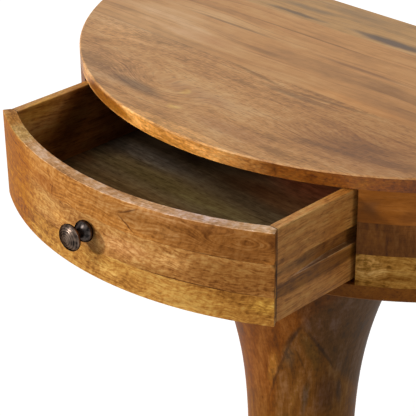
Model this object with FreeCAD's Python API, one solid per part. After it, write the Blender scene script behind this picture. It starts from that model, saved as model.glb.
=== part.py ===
import FreeCAD, Part
import math
import os

# Half-round table with a bow-front drawer and a turned trumpet pedestal. Sizes are in mm.
# The origin is on the floor under the middle of the pedestal, +Z is up and the drawer opens towards -Y.

# Plan and height
table_height = 760.0
plan_radius = 400.0
straight_back = 22.0
pedestal_share = 0.455

# Case, with the apron in stacked courses
courses = ("upper", "middle", "lower")
top_thickness = 16.0
course_height = 37.0
floor_thickness = 17.0
apron_thickness = 22.0
back_thickness = 14.0
board_count = 5
front_board_count = 2
front_board_extra = 11.0
top_arris = 1.5
floor_arris = 1.5

# Drawer
drawer_half_width = 202.5
front_thickness = 15.0
side_thickness = 11.0
drawer_back_thickness = 11.0
front_top_gap = 2.0
front_bottom_gap = 4.0
front_end_gap = 0.6
drawer_rear_gap = 12.0
bottom_thickness = 6.0
bottom_rise = 16.0
bottom_groove_depth = 5.0
bottom_groove_play = 0.2
bottom_edge_gap = 0.5
drawer_arris = 1.0
drawer_pull = 122.0

# Side runners and the stopped grooves that they run in
groove_height = 20.0
groove_depth = 6.5
groove_centre_drop = 52.0
groove_lead = 24.0
groove_ramp = 60.0
runner_slack = 0.3
runner_tip_gap = 1.0
runner_stop_gap = 0.5
runner_rear_gap = 5.0
guide_gap = 2.0
guide_thickness = 12.0
guide_front_gap = 1.0

# Knob
knob_radius = 15.0
knob_head_half = 7.0
knob_reach = 31.0
knob_rise = 1.4
knob_neck_radius = 4.5
knob_base_radius = 12.0
knob_base_height = 13.1
knob_base_foot = 7.5
knob_base_crown = 4.8
knob_screw_radius = 2.0
knob_screw_head_radius = 4.0
knob_screw_head_height = 2.4
knob_screw_grip = 9.0
knob_screw_end_gap = 1.0
washer_radius = 5.0
washer_thickness = 1.0
washer_seat_depth = 0.6
washer_seat_gap = 0.5

# Pedestal
flare_radius = 172.0
flare_power = 2.8
waist_radius = 68.0
waist_height = 216.0
foot_radius = 165.0
foot_lip = 12.0
foot_power = 2.4
foot_arris = 3.0
profile_steps = 8
felt_thickness = 3.0
felt_inset = 6.0

# Wood screws
runner_screw_head = 3.5
runner_screw_shank = 1.75
runner_screw_length = 17.0
pedestal_screw_head = 5.0
pedestal_screw_shank = 2.5
pedestal_screw_length = 60.0
screw_sink = 0.4
screw_play = 0.15
slot_width = 0.9
slot_depth = 1.1
slot_share = 0.6
runner_screw_count = 3
runner_screw_end = 30.0
pedestal_screw_half_span = 64.0

# How far a cutting shape runs past the face that it cuts
overcut = 1.0

# Levels
case_top = table_height - top_thickness
floor_top = case_top - len(courses) * course_height
floor_under = floor_top - floor_thickness
front_top = case_top - front_top_gap
front_bottom = floor_top + front_bottom_gap
groove_centre = front_top - groove_centre_drop
panel_under = front_bottom + bottom_rise
panel_top = panel_under + bottom_thickness

# Plan lines, measured from the middle of the plan arc
pedestal_forward = plan_radius * pedestal_share
inner_half = drawer_half_width - side_thickness
front_inner_radius = plan_radius - front_thickness
joint_y = -math.sqrt(front_inner_radius ** 2 - inner_half ** 2)
end_angle = math.atan2(drawer_half_width, -joint_y)
opening_half = plan_radius * math.sin(end_angle) + front_end_gap
apron_inner_radius = plan_radius - apron_thickness
back_inner = straight_back - back_thickness
drawer_rear = back_inner - drawer_rear_gap
guide_inner = drawer_half_width + guide_gap
guide_outer = guide_inner + guide_thickness
guide_front = -math.sqrt(apron_inner_radius ** 2 - guide_outer ** 2) + guide_front_gap
runner_tip = drawer_half_width - groove_depth + runner_tip_gap
runner_front = joint_y + groove_lead + groove_ramp + runner_stop_gap
runner_rear = back_inner - runner_rear_gap
knob_height = (front_top + front_bottom) / 2 + knob_rise


def vec(x, y, z=0.0):
    return FreeCAD.Vector(x, y, z)


def block(x0, x1, y0, y1, z0, z1):
    return Part.makeBox(x1 - x0, y1 - y0, z1 - z0, vec(x0, y0, z0))


def mirrored(shape):
    return shape.mirror(vec(0, 0), vec(1, 0))


def turned(outline):
    """Solid of revolution about Z of a closed outline of edges in the XZ plane."""
    return Part.Face(Part.Wire(outline)).revolve(vec(0, 0), vec(0, 0, 1), 360)


def lines_through(points):
    return [Part.makeLine(a, b) for a, b in zip(points, points[1:])]


def turned_points(points):
    corners = [vec(r, 0, z) for r, z in points]
    return turned(lines_through(corners + corners[:1]))


def level_edges(shape, z):
    """Edges that lie wholly at height z."""
    return [e for e in shape.Edges if max(abs(e.BoundBox.ZMin - z), abs(e.BoundBox.ZMax - z)) < 0.01]


def half_round(radius, back, z, height):
    """Half disc with a straight part behind its middle."""
    right = vec(radius, 0, z)
    left = vec(-radius, 0, z)
    arc = Part.Arc(right, vec(0, -radius, z), left).toShape()
    corners = [left, vec(-radius, back, z), vec(radius, back, z), right]
    return Part.Face(Part.Wire([arc] + lines_through(corners))).extrude(vec(0, 0, height))


def board_lines():
    """Glue lines of a slab from the back edge to the front, where the boards are wider."""
    width = (straight_back + plan_radius - front_board_count * front_board_extra) / board_count
    lines = [straight_back]
    for i in range(board_count):
        extra = front_board_extra if i >= board_count - front_board_count else 0
        lines.append(lines[-1] - width - extra)
    return lines


def boards(slab, z, height, eased_z, arris):
    """A half-round slab as glued boards, with the rim chamfered at one level."""
    lines = board_lines()
    reach = plan_radius + overcut
    pieces = []
    for rear, front in zip(lines, lines[1:]):
        board = slab.common(block(-reach, reach, front, rear, z, z + height)).Solids[0]
        rim = [e for e in level_edges(board, eased_z) if on_rim(e)]
        pieces.append(board.makeChamfer(arris, rim))
    return pieces


def on_rim(edge):
    """True for an edge on the slab's outline, and false for one on a glue line."""
    middle = edge.valueAt((edge.FirstParameter + edge.LastParameter) / 2)
    reach = math.hypot(middle.x, middle.y) if middle.y < 0 else abs(middle.x)
    return reach > plan_radius - 0.01 or middle.y > straight_back - 0.01


def top_boards():
    slab = half_round(plan_radius, straight_back, case_top, top_thickness)
    return boards(slab, case_top, top_thickness, table_height, top_arris)


def floor_boards():
    slab = half_round(plan_radius, straight_back, floor_under, floor_thickness).cut(pedestal_holes())
    return boards(slab, floor_under, floor_thickness, floor_under, floor_arris)


def apron_course(z):
    """Left and right part of one course of the curved apron."""
    outer = half_round(plan_radius, straight_back, z, course_height)
    hollow = half_round(apron_inner_radius, straight_back + overcut, z, course_height)
    opening = block(-opening_half, opening_half, -plan_radius - overcut, 0, z, z + course_height)
    halves = outer.cut(hollow).cut(opening).Solids
    return sorted(halves, key=lambda half: half.CenterOfMass.x)


def back_panel():
    return block(-apron_inner_radius, apron_inner_radius, back_inner, straight_back, floor_top, case_top)


def guide():
    panel = block(guide_inner, guide_outer, guide_front, back_inner, floor_top, case_top)
    return panel.cut(runner_holes())


def runner():
    under = groove_centre - groove_height / 2 + runner_slack
    over = groove_centre + groove_height / 2 - runner_slack
    strip = block(runner_tip, guide_inner, runner_front, runner_rear, under, over)
    return strip.cut(runner_holes())


def screw_blank(head, shank, length, play=0.0):
    """Countersunk screw, head up at the origin."""
    return turned_points([
        (0, 0),
        (head + play, 0),
        (shank + play, shank - head),
        (shank + play, 2 * shank - length),
        (0, -length - play),
    ])


def cross_slot(reach):
    along = block(-reach, reach, -slot_width / 2, slot_width / 2, -slot_depth, overcut)
    across = block(-slot_width / 2, slot_width / 2, -reach, reach, -slot_depth, overcut)
    return along.fuse(across)


def wood_screw(head, shank, length):
    return screw_blank(head, shank, length).cut(cross_slot(head * slot_share))


def screw_hole(head, shank, length):
    """Hole for a screw whose head sits below the face."""
    sink = Part.makeCylinder(head + screw_play, screw_sink + overcut)
    return screw_blank(head, shank, length, screw_play).fuse(sink)


def along_runner(piece):
    """Copies of a screw or its hole along the right runner, heads in the runner's tip face."""
    gap = (runner_rear - runner_front - 2 * runner_screw_end) / (runner_screw_count - 1)
    copies = []
    for i in range(runner_screw_count):
        copy = piece.copy()
        copy.rotate(vec(0, 0), vec(0, 1), -90)
        copy.translate(vec(runner_tip + screw_sink, runner_front + runner_screw_end + gap * i, groove_centre))
        copies.append(copy)
    return copies


def over_pedestal(piece):
    """Copies of a screw or its hole, two in each board beside the middle one, on that board's middle line."""
    lines = board_lines()
    beside = board_count // 2
    copies = []
    for number in (beside, beside + 2):
        middle = (lines[number - 1] + lines[number]) / 2
        for x in (-pedestal_screw_half_span, pedestal_screw_half_span):
            copy = piece.copy()
            copy.translate(vec(x, middle, floor_top - screw_sink))
            copies.append(copy)
    return copies


def runner_screws():
    return along_runner(wood_screw(runner_screw_head, runner_screw_shank, runner_screw_length))


def runner_holes():
    return Part.Compound(along_runner(screw_hole(runner_screw_head, runner_screw_shank, runner_screw_length)))


def pedestal_screws():
    screw = wood_screw(pedestal_screw_head, pedestal_screw_shank, pedestal_screw_length)
    return Part.Compound(over_pedestal(screw))


def pedestal_holes():
    hole = screw_hole(pedestal_screw_head, pedestal_screw_shank, pedestal_screw_length)
    return Part.Compound(over_pedestal(hole))


def front_course(z0, z1):
    """Slice of the bow front: concentric faces, radial ends, flats where the sides butt on."""
    end_x = plan_radius * math.sin(end_angle)
    end_y = -plan_radius * math.cos(end_angle)
    outer = Part.Arc(vec(end_x, end_y, z0), vec(0, -plan_radius, z0), vec(-end_x, end_y, z0)).toShape()
    corners = [vec(-end_x, end_y, z0), vec(-drawer_half_width, joint_y, z0), vec(-inner_half, joint_y, z0)]
    left = lines_through(corners)
    bow = vec(0, -front_inner_radius, z0)
    inner = Part.Arc(vec(-inner_half, joint_y, z0), bow, vec(inner_half, joint_y, z0)).toShape()
    corners = [vec(inner_half, joint_y, z0), vec(drawer_half_width, joint_y, z0), vec(end_x, end_y, z0)]
    right = lines_through(corners)
    return Part.Face(Part.Wire([outer] + left + [inner] + right)).extrude(vec(0, 0, z1 - z0))


def arc_edges(shape, z):
    return [e for e in level_edges(shape, z) if isinstance(e.Curve, Part.Circle)]


def panel_plan(grow, height):
    """Drawer bottom's outline, let into the sides and the bow front."""
    half = inner_half + bottom_groove_depth + grow
    disc = Part.makeCylinder(front_inner_radius + bottom_groove_depth + grow, height, vec(0, 0, panel_under))
    return disc.common(block(-half, half, -plan_radius, drawer_rear, panel_under, panel_under + height))


def bottom_groove():
    return panel_plan(0.0, bottom_thickness + bottom_groove_play)


def drawer_bottom():
    return panel_plan(-bottom_edge_gap, bottom_thickness)


def drawer_front_upper():
    course = front_course(case_top - course_height, front_top)
    return course.makeFillet(drawer_arris, arc_edges(course, front_top))


def drawer_front_middle():
    course = front_course(case_top - 2 * course_height, case_top - course_height)
    through = 2 * front_thickness
    hole = Part.makeCylinder(knob_screw_radius + screw_play, through, vec(0, 0, -through))
    seat_start = vec(0, 0, washer_seat_depth - through)
    seat = Part.makeCylinder(washer_radius + washer_seat_gap, front_thickness, seat_start)
    return course.cut(on_front(hole)).cut(on_front(seat))


def drawer_front_lower():
    course = front_course(front_bottom, case_top - 2 * course_height)
    course = course.makeFillet(drawer_arris, arc_edges(course, front_bottom))
    return course.cut(bottom_groove())


def drawer_side():
    """Right side with the stopped groove for its runner, which runs out on a ramp at the front."""
    side = block(inner_half, drawer_half_width, joint_y, drawer_rear, front_bottom, front_top)
    long_edges = [e for e in level_edges(side, front_top) if e.Length > 2 * side_thickness]
    side = side.makeFillet(drawer_arris, long_edges)
    floor_z = groove_centre - groove_height / 2
    start = joint_y + groove_lead
    outside = drawer_half_width + overcut
    behind = drawer_rear + overcut
    deep = drawer_half_width - groove_depth
    ramp = [(outside, start), (drawer_half_width, start), (deep, start + groove_ramp)]
    plan = ramp + [(deep, behind), (outside, behind)]
    corners = [vec(x, y, floor_z) for x, y in plan + plan[:1]]
    groove = Part.Face(Part.makePolygon(corners)).extrude(vec(0, 0, groove_height))
    return side.cut(groove).cut(bottom_groove())


def drawer_back():
    front = drawer_rear - drawer_back_thickness
    return block(-inner_half, inner_half, front, drawer_rear, panel_top, front_top)


def on_front(shape):
    """Stand a shape made along Z on the middle of the drawer front, pointing out."""
    shape.rotate(vec(0, 0), vec(1, 0), 90)
    shape.translate(vec(0, -plan_radius, knob_height))
    return shape


def knob_base():
    """Rosette in the shape of a flattened ball that closes on the knob's neck."""
    foot = vec(0, 0)
    rim = vec(knob_base_foot, 0, 0)
    crown = vec(knob_base_crown, 0, knob_base_height)
    bulge = Part.Arc(rim, vec(knob_base_radius, 0, knob_base_height / 2), crown).toShape()
    tip = vec(0, 0, knob_base_height)
    body = turned([Part.makeLine(foot, rim), bulge, Part.makeLine(crown, tip), Part.makeLine(tip, foot)])
    return on_front(body.cut(Part.makeCylinder(knob_screw_radius + screw_play, knob_base_height)))


def knob():
    """Flattened ball on a short neck, with a blind hole for its screw."""
    middle = knob_reach - knob_head_half
    neck = Part.makeCylinder(knob_neck_radius, middle - knob_base_height, vec(0, 0, knob_base_height))
    ball = Part.makeSphere(knob_radius)
    squash = FreeCAD.Matrix()
    squash.scale(1, 1, knob_head_half / knob_radius)
    head = ball.transformGeometry(squash)
    head.translate(vec(0, 0, middle))
    depth = knob_screw_grip + knob_screw_end_gap
    hole = Part.makeCylinder(knob_screw_radius + screw_play, depth, vec(0, 0, knob_base_height))
    return on_front(neck.fuse(head).cut(hole))


def knob_screw():
    """Pan-head screw from inside the drawer through the front and the rosette into the knob."""
    under = -front_thickness + washer_seat_depth - washer_thickness
    end = under - knob_screw_head_height
    shank = Part.makeCylinder(knob_screw_radius, knob_base_height + knob_screw_grip - under, vec(0, 0, under))
    head = Part.makeCylinder(knob_screw_head_radius, knob_screw_head_height, vec(0, 0, end))
    head = head.makeFillet(knob_screw_head_height / 3, level_edges(head, end))
    slot = cross_slot(knob_screw_head_radius * slot_share)
    slot.rotate(vec(0, 0), vec(1, 0), 180)
    slot.translate(vec(0, 0, end))
    return on_front(shank.fuse(head).cut(slot))


def knob_washer():
    seat = -front_thickness + washer_seat_depth - washer_thickness
    disc = Part.makeCylinder(washer_radius, washer_thickness, vec(0, 0, seat))
    hole = Part.makeCylinder(knob_screw_radius + screw_play, washer_thickness, vec(0, 0, seat))
    return on_front(disc.cut(hole))


def pedestal_profile():
    """Points of the turned outline from the foot's lip to the case floor, slimmest at the waist."""
    lip = felt_thickness + foot_lip
    points = []
    for i in range(profile_steps + 1):
        share = 1 - i / profile_steps
        radius = waist_radius + (foot_radius - waist_radius) * share ** foot_power
        points.append(vec(radius, 0, waist_height - (waist_height - lip) * share))
    for i in range(1, profile_steps + 1):
        share = i / profile_steps
        radius = waist_radius + (flare_radius - waist_radius) * share ** flare_power
        points.append(vec(radius, 0, waist_height + (floor_under - waist_height) * share))
    return points


def pedestal():
    points = pedestal_profile()
    curve = Part.BSplineCurve()
    curve.interpolate(points)
    centre_top = vec(0, 0, floor_under)
    centre_foot = vec(0, 0, felt_thickness)
    edge_foot = vec(foot_radius, 0, felt_thickness)
    outline = [Part.makeLine(edge_foot, points[0]), curve.toShape()]
    outline.append(Part.makeLine(points[-1], centre_top))
    outline.append(Part.makeLine(centre_top, centre_foot))
    outline.append(Part.makeLine(centre_foot, edge_foot))
    column = turned(outline)
    column = column.makeFillet(foot_arris, level_edges(column, felt_thickness))
    column.translate(vec(0, -pedestal_forward))
    return column.cut(pedestal_holes())


def foot_felt():
    return Part.makeCylinder(foot_radius - felt_inset, felt_thickness, vec(0, -pedestal_forward))


def save(name, shape, pull=0.0):
    """Write one piece, moved so that the pedestal's axis is the origin."""
    placed = shape.copy()
    placed.translate(vec(0, pedestal_forward - pull))
    placed.exportStep("parts/" + name + ".step")


def save_pair(name, right):
    save(name + "_right", right)
    save(name + "_left", mirrored(right))


def save_table():
    for i, board in enumerate(top_boards()):
        save("top_board_%d" % (i + 1), board)
    for i, board in enumerate(floor_boards()):
        save("floor_board_%d" % (i + 1), board)
    for i, course in enumerate(courses):
        left, right = apron_course(case_top - course_height * (i + 1))
        save("apron_left_" + course, left)
        save("apron_right_" + course, right)
    save("back_panel", back_panel())
    save_pair("guide", guide())
    save_pair("runner", runner())
    right_screws = runner_screws()
    save("runner_screws", Part.Compound(right_screws + [mirrored(screw) for screw in right_screws]))
    save("pedestal", pedestal())
    save("pedestal_screws", pedestal_screws())
    save("foot_felt", foot_felt())


def save_drawer():
    pieces = {
        "drawer_front_upper": drawer_front_upper(),
        "drawer_front_middle": drawer_front_middle(),
        "drawer_front_lower": drawer_front_lower(),
        "drawer_side_right": drawer_side(),
        "drawer_side_left": mirrored(drawer_side()),
        "drawer_back": drawer_back(),
        "drawer_bottom": drawer_bottom(),
        "knob": knob(),
        "knob_base": knob_base(),
        "knob_screw": knob_screw(),
        "knob_washer": knob_washer(),
    }
    for name, shape in pieces.items():
        save(name, shape, drawer_pull)


os.makedirs("parts", exist_ok=True)
save_table()
save_drawer()
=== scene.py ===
import bpy
import math
from mathutils import Matrix, Vector


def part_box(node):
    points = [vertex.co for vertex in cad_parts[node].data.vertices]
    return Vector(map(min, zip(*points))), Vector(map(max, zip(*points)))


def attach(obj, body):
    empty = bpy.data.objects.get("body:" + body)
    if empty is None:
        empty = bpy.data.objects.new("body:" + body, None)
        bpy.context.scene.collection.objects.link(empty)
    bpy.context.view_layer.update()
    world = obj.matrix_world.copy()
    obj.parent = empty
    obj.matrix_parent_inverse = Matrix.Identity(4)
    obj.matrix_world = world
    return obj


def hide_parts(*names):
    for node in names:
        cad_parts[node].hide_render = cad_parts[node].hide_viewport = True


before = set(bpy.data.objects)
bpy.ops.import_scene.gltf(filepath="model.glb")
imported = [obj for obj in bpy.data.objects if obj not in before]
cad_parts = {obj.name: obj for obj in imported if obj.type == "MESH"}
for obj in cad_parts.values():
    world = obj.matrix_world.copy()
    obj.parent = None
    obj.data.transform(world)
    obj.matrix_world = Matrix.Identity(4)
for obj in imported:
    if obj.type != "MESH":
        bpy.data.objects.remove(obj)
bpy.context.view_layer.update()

# Millimetres in a metre.
MM = 1000

# Places on the table, in mm. Heights in the wood marks are counted down from the table top, and lengths
# round the pedestal are counted on one radius.
TABLE_HEIGHT = 760
PLAN_RADIUS = 400
PLAN_CENTRE_Y = 182
DRAWER_PULL = 122
DRAWER_CENTRE_Y = PLAN_CENTRE_Y - DRAWER_PULL
PEDESTAL_RADIUS = 85

# Knob: its axis as x and height in m, where its rosette meets the drawer front in m, the spacing of the
# ridges on its face in mm, and how many sides a turned piece has.
low_corner, high_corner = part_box("knob_base")
KNOB_AXIS = ((low_corner[0] + high_corner[0]) / 2, (low_corner[2] + high_corner[2]) / 2)
KNOB_FOOT = high_corner[1]
RIDGE_SPACING = 2.5
TURNED_SIDES = 96


def tone(code):
    """Linear colour of an sRGB hex value."""
    parts = [int(code[i:i + 2], 16) / 255 for i in (1, 3, 5)]
    return [c / 12.92 if c <= 0.04045 else ((c + 0.055) / 1.055) ** 2.4 for c in parts] + [1.0]


def change(from_code, to_code):
    """Factor that carries one sRGB hex value to another."""
    return [b / max(a, 0.001) for a, b in zip(tone(from_code), tone(to_code))]


def add(tree, kind, inputs=None, **settings):
    """Add a node, set it up, and fill its inputs with values or with other nodes' outputs."""
    node = tree.nodes.new("ShaderNode" + kind)
    for name, value in settings.items():
        setattr(node, name, value)
    for key, value in (inputs or {}).items():
        if isinstance(value, bpy.types.NodeSocket):
            tree.links.new(value, node.inputs[key])
        else:
            node.inputs[key].default_value = value
    return node


def new_material(name):
    material = bpy.data.materials.new(name)
    material.use_nodes = True
    material.node_tree.nodes.clear()
    return material, material.node_tree


def close_material(tree, shader):
    add(tree, "OutputMaterial", {"Surface": shader.outputs[0]})


def plank(tree):
    """Grain along the back edge: x, then y from the middle of the plan arc, then height, all in mm."""
    place = add(tree, "TexCoord").outputs["Object"]
    return add(tree, "Mapping", {
        "Vector": place,
        "Scale": (MM, MM, MM),
        "Location": (0, -PLAN_CENTRE_Y, -TABLE_HEIGHT),
    }).outputs[0]


def rail(tree):
    """Grain along y: y from the middle of the plan arc, then height, then x, in mm."""
    parts = add(tree, "SeparateXYZ", {0: plank(tree)}).outputs
    return add(tree, "CombineXYZ", {0: parts[1], 1: parts[2], 2: parts[0]}).outputs[0]


def bow(tree, centre_y):
    """Grain round the bow: length along the arc, then height, then radius, in mm."""
    place = add(tree, "TexCoord").outputs["Object"]
    flat = add(tree, "Mapping", {
        "Vector": place,
        "Scale": (MM, -MM, MM),
        "Location": (0, centre_y, -TABLE_HEIGHT),
    }).outputs[0]
    parts = add(tree, "SeparateXYZ", {0: flat}).outputs
    angle = add(tree, "Math", {0: parts[0], 1: parts[1]}, operation="ARCTAN2").outputs[0]
    arc = add(tree, "Math", {0: angle, 1: PLAN_RADIUS}, operation="MULTIPLY").outputs[0]
    square = add(tree, "Math", {0: parts[0], 1: parts[0]}, operation="MULTIPLY").outputs[0]
    both = add(tree, "Math", {0: parts[1], 1: parts[1], 2: square}, operation="MULTIPLY_ADD").outputs[0]
    radius = add(tree, "Math", {0: both}, operation="SQRT").outputs[0]
    return add(tree, "CombineXYZ", {0: arc, 1: parts[2], 2: radius}).outputs[0]


def apron_bow(tree):
    return bow(tree, PLAN_CENTRE_Y)


def drawer_bow(tree):
    return bow(tree, DRAWER_CENTRE_Y)


def column(tree):
    """Grain up the pedestal: height, then x, then y, in mm."""
    place = add(tree, "TexCoord").outputs["Object"]
    scaled = add(tree, "Mapping", {"Vector": place, "Scale": (MM, MM, MM)}).outputs[0]
    parts = add(tree, "SeparateXYZ", {0: scaled}).outputs
    return add(tree, "CombineXYZ", {0: parts[2], 1: parts[0], 2: parts[1]}).outputs[0]


def column_face(tree):
    """Places of marks on the pedestal: height, then length round it from its front, in mm."""
    place = add(tree, "TexCoord").outputs["Object"]
    scaled = add(tree, "Mapping", {"Vector": place, "Scale": (MM, -MM, MM)}).outputs[0]
    parts = add(tree, "SeparateXYZ", {0: scaled}).outputs
    angle = add(tree, "Math", {0: parts[0], 1: parts[1]}, operation="ARCTAN2").outputs[0]
    arc = add(tree, "Math", {0: angle, 1: PEDESTAL_RADIUS}, operation="MULTIPLY").outputs[0]
    return add(tree, "CombineXYZ", {0: parts[2], 1: arc}).outputs[0]


# Layers of the figure: length along the grain and widths across it in mm, detail, and share of the tone.
FIGURE = {
    "streak": ((260, 9, 9), 4, 1.1),
    "cloud": ((120, 38, 38), 2, 0.6),
    "fibre": ((18, 2.6, 2.6), 3, 0.9),
    "mottle": ((9, 6, 6), 2, 0.5),
    "curl": ((5, 15, 15), 2, 0.3),
}
CURL_TURN = 25
TONE_ENDS = (0.12, 0.88)

# Sizes of what else the wood shows, along the grain and across it in mm: its slow wander, its short eddies,
# the ragged edges of its marks and how far these stray, its fine lines, and the flecks on its edges.
DRIFT = (210, 70, 70)
EDDY = (34, 20, 20)
RAG = (30, 12, 12)
MARK_STRAY = (26, 7, 0)
VEIN_STRAY = (7, 2.5, 0)
NO_STRAY = (0, 0, 0)
FINE_LINE = (260, 3.4, 3.4)
FLECK = (7, 3, 2)

# Pores are drawn about twice as wide as real ones so that they show at the picture's scale. Their depth is
# in m.
PORE = (11, 1.6, 1.6)
PORE_DEPTH = 0.0004

# What fine lines, pores and the painted highlight on arrises multiply the wood's colour by, and where in
# their noise lines and pores start and are full.
TINT = {"data_type": "RGBA", "blend_type": "MULTIPLY"}
LINE_TINT = change("#FFFFFF", "#A07A58")
PORE_TINT = change("#FFFFFF", "#8C6E56")
ARRIS_HIGHLIGHT_TINT = change("#B08050", "#B88856")
LINE_CUT = (0.55, 0.7)
PORE_CUT = (0.54, 0.72)

# How far a face looks up or down, from 0 to 1, where an arris sets in, where it ends, and where an edge does.
ARRIS_START = (0.35, 0.55)
ARRIS_END = (0.85, 0.95)
EDGE_START = (0.3, 0.9)

# How far out a mark fades away, with its edge at 1, and the depth in mm of one that goes right through.
MARK_FADE = 1.1
THROUGH = 1e6


def cell(size):
    """Mapping scale that makes a pattern this long and wide, in mm."""
    return [1 / length for length in size]


def oval(tree, where, middle, half, turn):
    """Distance from the middle of an oval, 1 on its edge. One without a third number goes right through."""
    local = add(tree, "Mapping", {
        "Vector": where,
        "Location": (*middle, 0)[:3],
        "Rotation": (0, 0, math.radians(turn)),
        "Scale": (*half, THROUGH)[:3],
    }, vector_type="TEXTURE")
    return add(tree, "VectorMath", {0: local.outputs[0]}, operation="LENGTH").outputs["Value"]


def bent_grain(tree, place, bumps, seed, wander, swirl):
    """The fibres wander slowly, curl in short eddies, and rise over each bump so that rings nest round it."""
    parts = add(tree, "SeparateXYZ", {0: place}).outputs
    slow = add(tree, "Mapping", {"Vector": place, "Scale": cell(DRIFT), "Location": (seed, seed, seed)})
    drift = add(tree, "TexNoise", {"Vector": slow.outputs[0], "Scale": 1, "Detail": 1.5}).outputs[0]
    across = add(tree, "Math", {0: drift, 1: wander, 2: parts[1]}, operation="MULTIPLY_ADD").outputs[0]
    if swirl:
        short = add(tree, "Mapping", {"Vector": place, "Scale": cell(EDDY), "Location": (seed, 7, seed)})
        eddy = add(tree, "TexNoise", {"Vector": short.outputs[0], "Scale": 1, "Detail": 1}).outputs[0]
        across = add(tree, "Math", {0: eddy, 1: swirl, 2: across}, operation="MULTIPLY_ADD").outputs[0]
    for middle, half, turn, rise in bumps:
        far = oval(tree, place, middle, half, turn)
        lift = add(tree, "MapRange", {"Value": far, 1: 0, 2: 1, 3: rise, 4: 0},
                   interpolation_type="SMOOTHERSTEP")
        across = add(tree, "Math", {0: across, 1: lift.outputs[0]}).outputs[0]
    return add(tree, "CombineXYZ", {0: parts[0], 1: across, 2: parts[2]}).outputs[0]


def figured(tree, place, bent, layers, rings, seed):
    """How dark or pale the wood is, from the layers of its figure and from its rings, given as spacing in mm
    and share."""
    curl = add(tree, "Mapping", {"Vector": place, "Rotation": (0, 0, math.radians(CURL_TURN))}).outputs[0]
    ways = {"mottle": place, "curl": curl}
    level = 0.5 - sum(share for size, detail, share in layers.values()) / 2
    for number, (layer, (size, detail, share)) in enumerate(layers.items()):
        laid = add(tree, "Mapping", {
            "Vector": ways.get(layer, bent),
            "Scale": cell(size),
            "Location": (seed * 3, seed + number, number),
        }).outputs[0]
        noise = add(tree, "TexNoise", {"Vector": laid, "Scale": 1, "Detail": detail, "Roughness": 0.6})
        level = add(tree, "Math", {0: noise.outputs[0], 1: share, 2: level},
                    operation="MULTIPLY_ADD").outputs[0]
    if rings:
        spacing, share = rings
        across = add(tree, "SeparateXYZ", {0: bent}).outputs[1]
        turn = add(tree, "Math", {0: across, 1: 2 * math.pi / spacing}, operation="MULTIPLY").outputs[0]
        wave = add(tree, "Math", {0: turn}, operation="SINE").outputs[0]
        level = add(tree, "Math", {0: wave, 1: share, 2: level}, operation="MULTIPLY_ADD").outputs[0]
    return level


def stain(tree, colour, where, spots, middle_tone):
    """Carry the wood towards a darker or paler tone in soft ovals, and keep its figure."""
    for middle, half, turn, code, share, core in spots:
        far = oval(tree, where, middle, half, turn)
        here = add(tree, "MapRange", {"Value": far, 1: core, 2: MARK_FADE, 3: share, 4: 0},
                   interpolation_type="SMOOTHSTEP")
        factor = change(middle_tone, code)
        colour = add(tree, "Mix", {0: here.outputs[0], 6: colour, 7: factor}, **TINT).outputs[2]
    return colour


def marked(tree, colour, place, flat, marks, veins, straight, middle_tone, seed):
    """Darker and paler places keep soft, ragged edges, veins stray a little, and straight marks don't."""
    ragged = add(tree, "Mapping", {"Vector": place, "Scale": cell(RAG), "Location": (seed, 5, 1)})
    rags = add(tree, "TexNoise", {"Vector": ragged.outputs[0], "Scale": 1, "Detail": 2})
    shift = add(tree, "VectorMath", {0: rags.outputs["Color"], 1: (-0.5, -0.5, -0.5)}).outputs[0]
    for spots, stray in ((marks, MARK_STRAY), (veins, VEIN_STRAY), (straight, NO_STRAY)):
        where = add(tree, "VectorMath", {0: shift, 1: stray, 2: flat}, operation="MULTIPLY_ADD").outputs[0]
        colour = stain(tree, colour, where, spots, middle_tone)
    return colour


def edged(tree, colour, place, edge, middle_tone, seed):
    """Arrises get a painted highlight that makes them a little paler. Faces turned from the board's own face
    are tinted from one end of the board to the other and flecked."""
    facing = add(tree, "SeparateXYZ", {0: add(tree, "TexCoord").outputs["Normal"]}).outputs[2]
    upward = add(tree, "Math", {0: facing}, operation="ABSOLUTE").outputs[0]
    rise = add(tree, "MapRange", {"Value": upward, 1: ARRIS_START[0], 2: ARRIS_START[1]}).outputs[0]
    fall = add(tree, "MapRange", {"Value": upward, 1: ARRIS_END[0], 2: ARRIS_END[1], 3: 1, 4: 0}).outputs[0]
    # Painted highlight: faces between upright and level, the arrises, are lightened.
    rubbed = add(tree, "Math", {0: rise, 1: fall}, operation="MULTIPLY").outputs[0]
    colour = add(tree, "Mix", {0: rubbed, 6: colour, 7: ARRIS_HIGHLIGHT_TINT}, **TINT).outputs[2]
    if edge:
        flat, ends, reach, fleck_share = edge
        start, full = EDGE_START
        aside = add(tree, "MapRange", {"Value": upward, 1: start, 2: full, 3: 1 - flat, 4: flat}).outputs[0]
        along = add(tree, "SeparateXYZ", {0: place}).outputs[0]
        far = add(tree, "MapRange", {"Value": along, 1: reach[0], 2: reach[1]}).outputs[0]
        first, last = [change(middle_tone, code) for code in ends]
        tint = add(tree, "Mix", {0: far, 6: first, 7: last}, data_type="RGBA").outputs[2]
        fleck = add(tree, "Mapping", {"Vector": place, "Scale": cell(FLECK), "Location": (seed, 2, 3)})
        flecks = add(tree, "TexNoise", {"Vector": fleck.outputs[0], "Scale": 1, "Detail": 2}).outputs[0]
        low, high = 1 - fleck_share, 1 + fleck_share
        factor = add(tree, "MapRange", {"Value": flecks, 1: 0.3, 2: 0.7, 3: low, 4: high}, clamp=False)
        tint = add(tree, "VectorMath", {0: tint, "Scale": factor.outputs[0]}, operation="SCALE").outputs[0]
        colour = add(tree, "Mix", {0: aside, 6: colour, 7: tint}, **TINT).outputs[2]
    return colour


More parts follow.
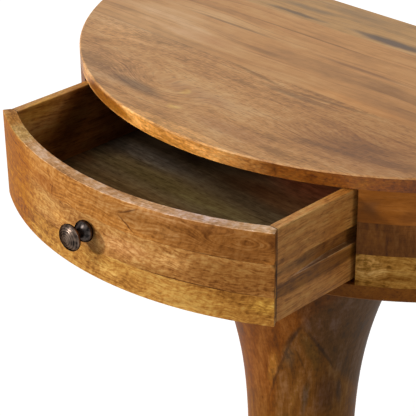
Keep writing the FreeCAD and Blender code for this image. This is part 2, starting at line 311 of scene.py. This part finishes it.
def wood(name, grain, tones, bumps=(), marks=(), veins=(), straight=(), seed=0, face=None, figure=None,
         pores=0.6, lines=0.3, wander=24, swirl=0, rings=None, edge=None, sheen=0.1, shine=(0.42, 0.56)):
    """Mango planed, sanded and sealed with a satin lacquer. It shows drifting streaks in three tones,
    short dark pores along the grain, a woolly ripple across it and a soft sheen."""
    material, tree = new_material(name)
    place = grain(tree)
    flat = face(tree) if face else place
    bent = bent_grain(tree, place, bumps, seed, wander, swirl)
    level = figured(tree, place, bent, {**FIGURE, **(figure or {})}, rings, seed)
    ramp = add(tree, "ValToRGB", {0: level})
    stops = ramp.color_ramp.elements
    stops[0].position, stops[1].position = TONE_ENDS
    stops.new(0.5)
    for stop, code in zip(stops, tones):
        stop.color = tone(code)
    colour = marked(tree, ramp.outputs[0], place, flat, marks, veins, straight, tones[1], seed)

    line = add(tree, "Mapping", {"Vector": bent, "Scale": cell(FINE_LINE), "Location": (0, seed, 0)})
    thread = add(tree, "TexNoise", {"Vector": line.outputs[0], "Scale": 1, "Detail": 3, "Roughness": 0.6})
    start, full = LINE_CUT
    drawn = add(tree, "MapRange", {"Value": thread.outputs[0], 1: start, 2: full, 3: 0, 4: lines}).outputs[0]
    colour = add(tree, "Mix", {0: drawn, 6: colour, 7: LINE_TINT}, **TINT).outputs[2]

    pore = add(tree, "Mapping", {"Vector": bent, "Scale": cell(PORE), "Location": (seed, 0, 0)}).outputs[0]
    grit = add(tree, "TexNoise", {"Vector": pore, "Scale": 1, "Detail": 2, "Roughness": 0.55}).outputs[0]
    start, full = PORE_CUT
    dots = add(tree, "MapRange", {"Value": grit, 1: start, 2: full, 3: 0, 4: pores}).outputs[0]
    colour = add(tree, "Mix", {0: dots, 6: colour, 7: PORE_TINT}, **TINT).outputs[2]
    colour = edged(tree, colour, place, edge, tones[1], seed)

    gloss = add(tree, "MapRange", {"Value": level, 1: 0.2, 2: 0.8, 3: shine[0], 4: shine[1]})
    relief = add(tree, "Bump", {"Height": grit, "Strength": 0.3, "Distance": PORE_DEPTH})
    shader = add(tree, "BsdfPrincipled", {
        "Base Color": colour,
        "Roughness": gloss.outputs[0],
        "IOR": 1.5,
        "Specular IOR Level": sheen,
        "Normal": relief.outputs[0],
    })
    close_material(tree, shader)
    return material


# Patterns of the metal and the felt, in mm, and the depth of the felt's fibres in m.
BRONZE_MOTTLE = 6
ZINC_CLOUD = 3
FELT_FIBRE = 1.2
FELT_DEPTH = 0.0004


def antique_bronze(name, patina, rubbed, ring_share):
    """Bronze, cast, turned and dark patinated. It looks nearly black, with bright gleams, and the ridges that
    the tool left are rubbed browner than the hollows between them."""
    material, tree = new_material(name)
    place = add(tree, "TexCoord").outputs["Object"]
    mottle = add(tree, "TexNoise", {"Vector": place, "Scale": MM / BRONZE_MOTTLE, "Detail": 3}).outputs[0]
    flat = add(tree, "Mapping", {
        "Vector": place,
        "Scale": (MM, 0, MM),
        "Location": (-MM * KNOB_AXIS[0], 0, -MM * KNOB_AXIS[1]),
    })
    far = add(tree, "VectorMath", {0: flat.outputs[0]}, operation="LENGTH").outputs["Value"]
    turn = add(tree, "Math", {0: far, 1: 2 * math.pi / RIDGE_SPACING}, operation="MULTIPLY").outputs[0]
    ridge = add(tree, "Math", {0: turn}, operation="COSINE").outputs[0]
    worn = add(tree, "Math", {0: ridge, 1: ring_share, 2: mottle}, operation="MULTIPLY_ADD").outputs[0]
    ramp = add(tree, "ValToRGB", {0: worn})
    stops = ramp.color_ramp.elements
    stops[0].position, stops[1].position = 0.3, 0.8
    stops[0].color, stops[1].color = tone(patina), tone(rubbed)
    gloss = add(tree, "MapRange", {"Value": worn, 1: 0.3, 2: 0.8, 3: 0.36, 4: 0.26})
    shader = add(tree, "BsdfPrincipled", {
        "Base Color": ramp.outputs[0],
        "Metallic": 1.0,
        "Roughness": gloss.outputs[0],
        "Specular Tint": tone("#4A4440"),
    })
    close_material(tree, shader)
    return material


def zinc_steel():
    """Zinc-plated steel. It shows a pale grey, slightly cloudy plating with a dull gleam."""
    material, tree = new_material("Zinc-plated steel")
    place = add(tree, "TexCoord").outputs["Object"]
    cloud = add(tree, "TexNoise", {"Vector": place, "Scale": MM / ZINC_CLOUD, "Detail": 3}).outputs[0]
    ramp = add(tree, "ValToRGB", {0: cloud})
    stops = ramp.color_ramp.elements
    stops[0].color, stops[1].color = tone("#8E8F8C"), tone("#C6C7C4")
    gloss = add(tree, "MapRange", {"Value": cloud, 1: 0.3, 2: 0.7, 3: 0.3, 4: 0.5})
    shader = add(tree, "BsdfPrincipled", {
        "Base Color": ramp.outputs[0],
        "Metallic": 1.0,
        "Roughness": gloss.outputs[0],
    })
    close_material(tree, shader)
    return material


def pressed_felt():
    """Pressed wool felt. It shows tangled fibres in two dark browns and no shine."""
    material, tree = new_material("Pressed wool felt")
    place = add(tree, "TexCoord").outputs["Object"]
    fibre = add(tree, "TexNoise", {
        "Vector": place,
        "Scale": MM / FELT_FIBRE,
        "Detail": 5,
        "Roughness": 0.7,
        "Distortion": 1.5,
    }).outputs[0]
    ramp = add(tree, "ValToRGB", {0: fibre})
    stops = ramp.color_ramp.elements
    stops[0].position, stops[1].position = 0.35, 0.65
    stops[0].color, stops[1].color = tone("#2A2320"), tone("#4A4039")
    relief = add(tree, "Bump", {"Height": fibre, "Strength": 0.6, "Distance": FELT_DEPTH})
    shader = add(tree, "BsdfPrincipled", {
        "Base Color": ramp.outputs[0],
        "Roughness": 0.95,
        "Normal": relief.outputs[0],
    })
    close_material(tree, shader)
    return material


def cover(material, *names):
    """Give CAD pieces a finish."""
    for name in names:
        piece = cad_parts[name]
        piece.data.materials.clear()
        piece.data.materials.append(material)


# A mark, vein or straight mark is its middle, its half sizes, its turn, its tone, its share and how far out
# its full share reaches. A bump is its middle, its half sizes, its turn and its rise. An edge is 0 for
# upright faces or 1 for level ones, its tones at two places along the grain, those places and its flecks'
# share.

# Top boards from the back to the front.
TOP_TONES = ("#9A682F", "#C68E54", "#D8AA76")
TOP_FIGURE = {
    "streak": ((420, 13, 13), 3, 0.7),
    "cloud": ((300, 32, 32), 2, 1.2),
    "fibre": ((24, 2.8, 2.8), 2, 0.2),
    "mottle": ((40, 18, 18), 2, 0.5),
    "curl": ((5, 15, 15), 2, 0.1),
}
NEAR_FIGURE = {
    "streak": ((220, 12, 12), 3, 0.9),
    "cloud": ((180, 42, 42), 2, 1.5),
    "fibre": ((10, 2.0, 2.0), 3, 1.1),
    "mottle": ((30, 16, 16), 2, 0.7),
    "curl": ((5, 12, 12), 2, 0.5),
}
TOP_ZONES = [
    ((-240, -190), (150, 90), 0, "#D8A670", 0.7, 0.2),
    ((170, -250), (170, 120), 0, "#AC743C", 0.7, 0.2),
    ((180, -300), (120, 60), 0, "#A87244", 0.6, 0.2),
    ((-200, -330), (100, 60), 0, "#B88A5E", 0.5, 0.2),
    ((-185, -310), (52, 22), 0, "#DA9D5D", 1.0, 0.3),
    ((-50, -311), (80, 16), 0, "#B77F4B", 0.9, 0.3),
    ((-165, -187), (70, 14), 0, "#BD8149", 0.9, 0.3),
    ((-245, -245), (60, 25), 0, "#D2975A", 1.0, 0.3),
    ((95, -211), (85, 14), 0, "#D59757", 1.0, 0.3),
]
RIM_SHADE = [
    ((-130, -378, -9), (84, 16, 8), -20, "#885210", 1.0, 0.6),
    ((-255, -305, -9), (84, 20, 8), -40, "#A06A28", 0.8, 0.6),
]
RIM = (0, ("#DE9648", "#84470A"), (48, 130), 0.25)
TOP_LOOK = {"figure": TOP_FIGURE, "edge": RIM, "sheen": 0.3, "pores": 0.15, "lines": 0.45}
NEAR_LOOK = {**TOP_LOOK, "figure": NEAR_FIGURE, "pores": 0.5, "lines": 0.5}
NEAR_BUMPS = [((165, -295), (130, 46), 12, 16), ((-100, -330), (110, 50), -8, 22)]
cover(wood("Satin mango, top board 1", plank, ("#8A683E", "#BE9058", "#D2A878"), seed=1, marks=[
    ((-140, -48), (66, 5), 0, "#64503C", 0.8, 0.3),
    ((12, -44), (78, 10), 0, "#5C4C40", 0.9, 0.3),
    ((-140, -24), (50, 9), 0, "#8C7050", 0.6, 0.2),
    ((-90, 6), (90, 7), 0, "#967A56", 0.5, 0.2),
], **TOP_LOOK), "top_board_1")
cover(wood("Satin mango, top board 2", plank, TOP_TONES, seed=2.3, marks=TOP_ZONES, veins=[
    ((-80, -96), (180, 2.2), 0, "#84582E", 0.7, 0.2),
    ((-170, -131), (90, 3.2), 0, "#7E5834", 0.7, 0.2),
    ((40, -134), (90, 5), 0, "#825634", 0.7, 0.2),
], **TOP_LOOK), "top_board_2")
cover(wood("Satin mango, top board 3", plank, TOP_TONES, seed=4.1, marks=TOP_ZONES, **TOP_LOOK),
      "top_board_3")
cover(wood("Satin mango, top board 4", plank, TOP_TONES, seed=6.2, bumps=NEAR_BUMPS, marks=TOP_ZONES + [
    ((32, -240), (75, 7), 0, "#845C36", 0.7, 0.2),
    ((170, -292), (70, 20), 10, "#946638", 0.7, 0.1),
] + RIM_SHADE, veins=[
    ((-210, -217), (120, 3.5), 0, "#8A6034", 0.7, 0.2),
    ((-40, -226), (60, 4), -8, "#8A6034", 0.7, 0.2),
    ((70, -228), (80, 4), 5, "#8A6034", 0.7, 0.2),
], **NEAR_LOOK), "top_board_4")
cover(wood("Satin mango, top board 5", plank, TOP_TONES, seed=6.2, bumps=NEAR_BUMPS, marks=TOP_ZONES + [
    ((-120, -342), (60, 13), -4, "#846240", 0.8, 0.2),
    ((-65, -316), (9, 8), 60, "#E0AE5C", 0.7, 0.2),
    ((-45, -354), (14, 5), 20, "#E0AE5C", 0.6, 0.2),
    ((170, -310), (80, 16), 10, "#946638", 0.6, 0.1),
    ((45, -354), (70, 16), 0, "#B57E4B", 0.9, 0.3),
    # Painted highlight along the front arris of the top, and painted light on the middle of the rim below it.
    ((-15, -390), (95, 11), 0, "#EEB06A", 0.9, 0.4),
    ((-8, -400, -10), (60, 20, 8), 0, "#DCA062", 0.9, 0.5),
] + RIM_SHADE, **NEAR_LOOK), "top_board_5")

# Case floor and back.
FLOOR_BOARDS = ["floor_board_%d" % number for number in range(1, 6)]
QUIET = {
    "streak": ((260, 9, 9), 3, 0.7),
    "cloud": ((160, 38, 38), 2, 0.7),
    "fibre": ((18, 2.6, 2.6), 3, 0.4),
    "mottle": ((9, 6, 6), 2, 0.2),
    "curl": ((5, 15, 15), 2, 0.1),
}
cover(wood("Satin mango, case floor", plank, ("#562E08", "#7A440A", "#945C1C"), seed=9.4, figure=QUIET),
      *FLOOR_BOARDS)
cover(wood("Satin mango, back panel", plank, ("#7A5028", "#A87038", "#BE8A4C"), seed=3.7), "back_panel")

# Drawer front, upper course to lower course. Its upper edge is paler, also on the left, and it darkens to the
# right.
FRONT_FIGURE = {
    "streak": ((160, 9, 9), 3, 0.9),
    "cloud": ((90, 30, 30), 2, 0.9),
    "fibre": ((8, 1.8, 1.8), 3, 1.3),
    "mottle": ((6, 4.5, 4.5), 2, 0.7),
    "curl": ((4, 11, 11), 2, 0.7),
}
FRONT_EDGE = (1, ("#CE9864", "#F0BC84"), (40, 170), 0.15)
UPPER_FIGURE = {**FRONT_FIGURE, "fibre": ((8, 1.8, 1.8), 3, 0.9), "mottle": ((6, 4.5, 4.5), 2, 0.45)}
END_GRAIN = ((223, -67), (7, 90), 0, "#4E2C10", 0.9, 0.3)
# Painted shade: each course is darker at its left end, where the low lamp lights it most.
LEFT_END_SHADE = ((-168, -67), (72, 120), 0, "#A4611C", 1.0, 0.5)
FRONT_LOOK = {"figure": FRONT_FIGURE, "pores": 0.4, "swirl": 15, "sheen": 0.04, "shine": (0.52, 0.66)}
UPPER_LOOK = {**FRONT_LOOK, "figure": UPPER_FIGURE, "pores": 0.3}
cover(wood("Satin mango, drawer front upper", drawer_bow, ("#804C1C", "#B67634", "#D09856"), seed=11.2,
           edge=FRONT_EDGE, rings=(4.5, 0.08), bumps=[
    ((184, -36), (70, 17), 0, 26),
], marks=[
    LEFT_END_SHADE,
    ((170, -34), (115, 30), 0, "#985E26", 0.95, 0.2),
    ((-111, -38), (40, 14), 0, "#B06A22", 0.5, 0.2),
    ((-76, -43), (34, 12), 0, "#A16127", 0.9, 0.3),
    ((185, -50), (40, 8), 0, "#A1652A", 1.0, 0.3),
    ((125, -22), (80, 7), 0, "#C68442", 0.9, 0.3),
    ((40, -30), (56, 14), 0, "#A06830", 0.7, 0.2),
    ((214, -28), (8, 13), 0, "#5E2C0C", 0.6, 0.2),
    ((105, -40), (20, 8), 0, "#C88A46", 0.7, 0.3),
    END_GRAIN,
], veins=[
    ((150, -35), (106, 19), 0, "#96602C", 0.5, 0.88),
    ((58.5, -28), (18, 1.6), 24, "#5A2C10", 0.8, 0.2),
    ((56, -43.5), (17, 1.6), -37, "#5A2C10", 0.8, 0.2),
    ((-60, -45), (10, 1.8), 70, "#7A4016", 0.6, 0.2),
    ((-66, -30), (8, 1.6), -60, "#7A4016", 0.5, 0.2),
    ((150, -53), (90, 0.9), 0, "#4A260C", 0.6, 0.4),
], straight=[
    ((-150, -18), (28, 3), 0, "#CE9A56", 1.0, 0.5),
], **UPPER_LOOK), "drawer_front_upper")
cover(wood("Satin mango, drawer front middle", drawer_bow, ("#804E20", "#B2783C", "#CE9C5A"), seed=13.5,
           marks=[
    LEFT_END_SHADE,
    ((185, -72), (110, 32), 0, "#8A5624", 0.95, 0.2),
    ((48, -72), (42, 14), 0, "#C3864B", 1.0, 0.3),
    ((110, -70), (26, 10), 0, "#D59A57", 1.0, 0.3),
    ((-48, -74), (16, 10), 0, "#C38541", 1.0, 0.3),
    ((85, -87), (50, 4), 0, "#8A5622", 0.6, 0.2),
    ((-140, -86), (50, 6), 0, "#925820", 0.5, 0.2),
    ((-100, -70), (36, 16), 0, "#AE7030", 0.6, 0.3),
    END_GRAIN,
], veins=[
    ((-110, -63), (6, 1.4), 70, "#7E4A1C", 0.6, 0.2),
    ((140, -89.6), (95, 0.9), 0, "#4A260C", 0.7, 0.4),
], **FRONT_LOOK), "drawer_front_middle")
cover(wood("Satin mango, drawer front lower", drawer_bow, ("#84521E", "#B87E38", "#D2A254"), seed=15.8,
           marks=[
    LEFT_END_SHADE,
    ((190, -104), (110, 26), 0, "#A06A2A", 0.9, 0.2),
    ((81, -98), (18, 9), 0, "#905820", 0.35, 0.2),
    ((-105, -107), (28, 3), 0, "#965E22", 0.6, 0.2),
    ((208, -101), (18, 13), 0, "#D8A048", 1.0, 0.2),
    ((45, -101), (52, 12), 0, "#B47A34", 0.6, 0.3),
    ((32, -109), (24, 6), 0, "#CE9448", 0.8, 0.3),
    ((168, -106), (28, 6), 0, "#CC9044", 0.6, 0.3),
    ((-100, -112), (60, 6), 0, "#D09848", 0.7, 0.3),
    END_GRAIN,
], **FRONT_LOOK), "drawer_front_lower")

# Apron courses. The middle one shows short, upright figure.
UPRIGHT_FIGURE = {**QUIET, "streak": ((6, 45, 45), 3, 0.9), "fibre": ((3, 9, 9), 3, 0.9)}
cover(wood("Satin mango, apron upper", apron_bow, ("#562C08", "#7E460E", "#9A5E26"), seed=17.1, pores=0.3,
           figure=QUIET, marks=[
    # Painted shade next to the drawer opening.
    ((232, -36), (14, 14), 0, "#5E3612", 0.7, 0.2),
    ((262, -34), (16, 10), 0, "#9A5A16", 0.3, 0.2),
    ((272, -44), (14, 9), 0, "#6A3808", 0.9, 0.3),
]), "apron_left_upper", "apron_right_upper")
cover(wood("Satin mango, apron middle", apron_bow, ("#46240C", "#663A10", "#7C5026"), seed=19.6, pores=0.3,
           figure=UPRIGHT_FIGURE, marks=[
    # Painted light: paler next to the opening, where the drawer casts its shadow.
    ((232, -72), (20, 20), 0, "#7C4A18", 0.7, 0.3),
]), "apron_left_middle", "apron_right_middle")
cover(wood("Satin mango, apron lower", apron_bow, ("#764A12", "#AC7630", "#C8984C"), seed=21.3, marks=[
    # Painted light: paler next to the opening, where the drawer casts its shadow.
    ((232, -102), (20, 20), 0, "#DAA254", 0.8, 0.3),
    ((262, -116), (36, 7), 0, "#845016", 0.8, 0.3),
], **FRONT_LOOK), "apron_left_lower", "apron_right_lower")

# Drawer box and what it runs on. The sides' bands run along them, with painted shade towards the rear of the
# right side, and their joint with the front is a dark line. Marks in the groove and on the left side's inner
# face lie at one x, in mm.
BOX_TONES = ("#7E4E1E", "#B87A3A", "#CC9852")
BOX_FIGURE = {
    "streak": ((260, 10, 10), 3, 1.0),
    "cloud": ((160, 30, 30), 2, 0.9),
    "fibre": ((14, 2, 2), 3, 0.9),
}
BOX_EDGE = (1, ("#C88C50", "#B0702E"), (-450, -345), 0.15)
JOINT_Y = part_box("drawer_side_right")[0][1] * MM - PLAN_CENTRE_Y
JOINT_LINE = ((JOINT_Y, -67), (1.6, 90), 0, "#2E1A0C", 0.9, 0.5)
GROOVE_X = 199
INNER_X = -191.5


def groove(x):
    """Marks in the groove of a drawer side: painted shade in the hollow and a painted highlight on the ledge.
    """
    return [
        # Painted shade in the hollow.
        ((-350, -70, x), (94, 11.4, 6.8), 0, "#7C4E22", 0.6, 0.85),
        # Painted highlight on the ledge.
        ((-385, -80, x), (66, 1.4, 6.8), 0, "#CCA276", 1.0, 0.65),
    ]


SIDE_BANDS_AND_SHADE = [
    ((-400, -50), (60, 3), 0, "#96602A", 0.6, 0.2),
    ((-400, -89.5), (110, 9.5), 0, "#7C4C14", 0.8, 0.6),
    ((-430, -68), (60, 7), 0, "#8C6030", 0.6, 0.4),
    # Painted shade: darker and redder towards the rear, next to the opening.
    ((-362, -67), (40, 60), 0, "#A86420", 0.7, 0.2),
]
cover(wood("Satin mango, right drawer side", rail, BOX_TONES, seed=23.9, figure=BOX_FIGURE, edge=BOX_EDGE,
           marks=SIDE_BANDS_AND_SHADE, straight=[JOINT_LINE] + groove(GROOVE_X)), "drawer_side_right")
cover(wood("Satin mango, left drawer side", rail, BOX_TONES, seed=24.4, figure=BOX_FIGURE, edge=BOX_EDGE,
           marks=[
    # Painted light and shade on the inner face: a pale lit patch high at the front, a slanting painted shadow
    # of the top, and painted shade below it and towards the back.
    ((-426, -26, INNER_X), (46, 18, 8), 10, "#C07C28", 0.8, 0.2),
    ((-412, -66, INNER_X), (70, 28, 8), 0, "#7C460A", 0.7, 0.3),
    ((-372, -50, INNER_X), (26, 60, 8), -30, "#5A340C", 0.7, 0.2),
    ((-300, -70, INNER_X), (70, 60, 8), 0, "#5A3820", 0.65, 0.3),
    ((-380, -98, INNER_X), (120, 16, 8), 0, "#5A3210", 0.4, 0.4),
], straight=[JOINT_LINE] + groove(-GROOVE_X)), "drawer_side_left")
cover(wood("Satin mango, drawer bottom", plank, ("#4E3E24", "#7A6244", "#94805C"), seed=25.2,
           figure=BOX_FIGURE, marks=[
    # Painted shade under the table top, darkest towards the back.
    ((60, -225), (260, 70), 0, "#542E1A", 0.9, 0.3),
    ((-160, -215), (200, 98), 0, "#443424", 1.0, 0.78),
    ((80, -292), (110, 30), 0, "#7A4A28", 0.8, 0.3),
    ((0, -290), (60, 26), 0, "#5A3A20", 0.7, 0.3),
    ((75, -252), (80, 30), 0, "#B07850", 0.9, 0.3),
    # Painted shade at the bottom's left end.
    ((-185, -335), (40, 30), 0, "#5A4834", 0.8, 0.3),
    ((-60, -395), (200, 26), 0, "#7E5E36", 0.8, 0.3),
    ((-130, -316), (110, 24), 0, "#665A4E", 0.85, 0.2),
    ((-40, -354), (190, 26), 0, "#7E6838", 0.7, 0.1),
    ((-185, -372), (30, 18), 0, "#6E4622", 0.7, 0.2),
]), "drawer_bottom", "drawer_back")
cover(wood("Satin mango, runners", rail, BOX_TONES, seed=27.5),
      "guide_left", "guide_right", "runner_left", "runner_right")

# Turned pedestal: a tongue of brown heartwood on its front right, darker still beyond it, and veins where
# they meet.
PEDESTAL_FIGURE = {"streak": ((340, 12, 12), 3, 1.2), "fibre": ((20, 2.6, 2.6), 3, 0.6)}
cover(wood("Satin mango, turned pedestal", column, ("#562E08", "#80440C", "#9C6028"), seed=29.8, pores=0.4,
           sheen=0.05, face=column_face, figure=PEDESTAL_FIGURE, marks=[
    ((430, 130), (260, 70), 0, "#78440A", 0.8, 0.2),
    ((310, -12), (66, 60), 0, "#74420C", 0.7, 0.3),
    ((250, -130), (130, 34), 6, "#6E3C10", 0.6, 0.2),
    ((150, 30), (100, 24), -5, "#74420F", 0.6, 0.2),
    ((365, 95), (45, 22), 0, "#5C2E0A", 0.8, 0.3),
    ((366, 51), (44, 6), 12, "#9A5A18", 0.7, 0.3),
    ((362, 66), (36, 6), 6, "#553610", 0.7, 0.2),
    ((440, 70), (40, 10), -20, "#6A4410", 0.5, 0.3),
    ((402, 21), (36, 8), 12, "#AE6E24", 0.9, 0.4),
    ((430, 44), (22, 10), 0, "#8C5620", 0.8, 0.3),
], veins=[
    ((403, 136), (175, 100), 19.6, "#784A18", 0.8, 0.97),
    ((472, 145), (140, 70), -29, "#5C3410", 0.75, 0.95),
    ((412, 33.5), (96, 2.6), 19.6, "#402308", 0.5, 0.3),
    ((462, 50), (28, 4), 25, "#361E08", 0.6, 0.2),
    ((438, 83.5), (56, 3), -29, "#3C2208", 0.6, 0.3),
    ((424, 58), (24, 2.2), -19, "#442608", 0.5, 0.2),
    ((362, 117), (30, 7), -10, "#362414", 0.6, 0.2),
]), "pedestal")

# Knob, screws and felt.
cover(antique_bronze("Antique bronze, turned", "#1C1918", "#7E6A5C", 0.1), "knob")
cover(antique_bronze("Antique bronze, smooth", "#1A1817", "#6A5E58", 0.0), "knob_base")
cover(zinc_steel(), "runner_screws", "pedestal_screws", "knob_screw", "knob_washer")
cover(pressed_felt(), "foot_felt")

# Edges of the turned pieces that bend less than this, in degrees, look round.
SMOOTH_BELOW = 35


def turned(name, node, outline):
    """Turn a piece on the knob's axis: a disc drawn out ring by ring, from the drawer front towards the hand.
    The outline is a list of radius and reach from the drawer front, in mm."""
    def centre(reach):
        return KNOB_AXIS[0], KNOB_FOOT - reach / MM, KNOB_AXIS[1]

    bpy.ops.object.select_all(action="DESELECT")
    radius, reach = outline[0]
    bpy.ops.mesh.primitive_circle_add(vertices=TURNED_SIDES, radius=radius / MM, fill_type="NGON",
                                      location=centre(reach), rotation=(math.pi / 2, 0, 0))
    piece = bpy.context.object
    piece.name = name
    bpy.ops.object.transform_apply(location=True, rotation=True, scale=True)
    bpy.ops.object.mode_set(mode="EDIT")
    bpy.ops.mesh.select_all(action="SELECT")
    for next_radius, next_reach in outline[1:]:
        step = (0, (reach - next_reach) / MM, 0)
        bpy.ops.mesh.extrude_region_move(TRANSFORM_OT_translate={"value": step})
        size = next_radius / radius
        bpy.ops.transform.resize(value=(size, 1, size), center_override=centre(next_reach))
        radius, reach = next_radius, next_reach
    bpy.ops.mesh.select_all(action="SELECT")
    bpy.ops.mesh.normals_make_consistent(inside=False)
    bpy.ops.object.mode_set(mode="OBJECT")
    bpy.ops.object.shade_smooth_by_angle(angle=math.radians(SMOOTH_BELOW))
    piece.data.materials.append(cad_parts[node].data.materials[0])
    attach(piece, "drawer")
    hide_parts(node)


# Rosette: a flattened ball that sits on the drawer front on a narrower foot and closes on the neck.
turned("turned_rosette", "knob_base", [
    (7.5, 0.0), (9.3, 0.5), (10.7, 1.5), (11.6, 2.9), (12.0, 4.7), (11.9, 6.1), (11.5, 7.5), (10.7, 8.9),
    (9.6, 10.2), (8.3, 11.4), (6.9, 12.3), (5.6, 12.9), (4.8, 13.1),
])

# Knob: a slim neck that spreads into a flattened ball. The tool left ridges on its face. Angles on the ball
# are in degrees, from its back to its face.
BALL_RADIUS = 15.0
BALL_HALF = 7.0
BALL_REACH = 24.0
RIDGE_DEPTH = 0.12
BALL_STEPS = 96
BALL_START = -62
BALL_TURN = 150
knob_outline = [(4.5, 12.6), (4.5, 14.0), (4.7, 15.2), (5.2, 16.2), (6.0, 16.95)]
for step in range(1, BALL_STEPS):
    turn = math.radians(BALL_START + step * BALL_TURN / BALL_STEPS)
    radius, rise = BALL_RADIUS * math.cos(turn), BALL_HALF * math.sin(turn)
    out, along = radius / BALL_RADIUS ** 2, rise / BALL_HALF ** 2
    wave = (1 - math.cos(2 * math.pi * radius / RIDGE_SPACING)) / 2
    dip = RIDGE_DEPTH * wave if turn > 0 else 0
    dip /= math.hypot(out, along)
    knob_outline.append((radius - dip * out, BALL_REACH + rise - dip * along))
turned("turned_knob", "knob", knob_outline)


def seen(tree):
    """1 where the eye looks, also by a mirror or through glass, and 0 for light that falls on the table."""
    path = add(tree, "LightPath").outputs
    look = add(tree, "Math", {0: path["Is Camera Ray"], 1: path["Is Glossy Ray"]}, operation="MAXIMUM")
    through = {0: look.outputs[0], 1: path["Is Transmission Ray"]}
    return add(tree, "Math", through, operation="MAXIMUM").outputs[0]


# Plain pale floor, white for the eye and with the table's shadow on it.
FLOOR_SIZE = 40.0
FLOOR_LIFT = 0.58
bpy.ops.object.select_all(action="DESELECT")
bpy.ops.mesh.primitive_plane_add(size=FLOOR_SIZE)
floor = bpy.context.object
floor.name = "studio_floor"
paper, tree = new_material("Pale studio floor")
lift = add(tree, "Math", {0: seen(tree), 1: FLOOR_LIFT}, operation="MULTIPLY")
matt = add(tree, "BsdfDiffuse", {"Color": tone("#DCDCDA")})
glow = add(tree, "Emission", {"Strength": lift.outputs[0]})
close_material(tree, add(tree, "AddShader", {0: matt.outputs[0], 1: glow.outputs[0]}))
floor.data.materials.append(paper)

# White surroundings, with less light from them on the object than the eye sees.
AMBIENT = 0.16
world = bpy.data.worlds.new("white_studio")
world.use_nodes = True
tree = world.node_tree
tree.nodes.clear()
strength = add(tree, "MapRange", {"Value": seen(tree), 1: 0, 2: 1, 3: AMBIENT, 4: 1})
surround = add(tree, "Background", {"Color": tone("#FFFFFF"), "Strength": strength.outputs[0]})
add(tree, "OutputWorld", {"Surface": surround.outputs[0]})
bpy.context.scene.world = world

# Lamps: a low one from the front left, a wide soft one from above the front, and a weak cool one from the
# right. Each has the way it comes from, its level on a face turned to it, its spread in degrees and colour.
LAMPS = {
    "low_key": ((-0.41, -1.0, 0.40), 0.60, 5, "#FFFFFF"),
    "high_soft": ((-0.25, -0.97, 1.0), 0.44, 24, "#FFFFFF"),
    "right_fill": ((1.0, 0.2, 0.5), 0.14, 12, "#E6ECFF"),
}
LAMP_DISTANCE = 4.0
for name, (way, level, spread, colour) in LAMPS.items():
    lamp = bpy.data.lights.new(name, "SUN")
    lamp.angle = math.radians(spread)
    lamp.energy = level * math.pi
    lamp.color = tone(colour)[:3]
    holder = bpy.data.objects.new(name, lamp)
    holder.location = Vector(way).normalized() * LAMP_DISTANCE
    holder.rotation_euler = Vector(way).to_track_quat("Z", "Y").to_euler()
    bpy.context.scene.collection.objects.link(holder)

# The photograph's view, fitted to the table's edges: the picture's side and focal length in pixels, the width
# that stands for that side in mm, the ways that point right and forward, and the eye in m.
IMAGE_SIDE = 416
FOCAL_PIXELS = 1513.1
SENSOR_WIDTH = 36
RIGHT = Vector((0.70848, 0.70565, -0.01040))
FORWARD = Vector((-0.62648, 0.62207, -0.46962))
EYE = (1.05446, -1.21242, 1.43907)
lens = bpy.data.cameras.new("photo_view")
lens.sensor_width = SENSOR_WIDTH
lens.lens = FOCAL_PIXELS / IMAGE_SIDE * SENSOR_WIDTH
camera = bpy.data.objects.new("photo_view", lens)
up = RIGHT.cross(FORWARD)
turn = [[RIGHT[i], up[i], -FORWARD[i]] for i in range(3)]
camera.matrix_world = Matrix(turn).to_4x4()
camera.location = EYE
bpy.context.scene.collection.objects.link(camera)
bpy.context.scene.camera = camera
bpy.context.scene.view_settings.view_transform = "Standard"
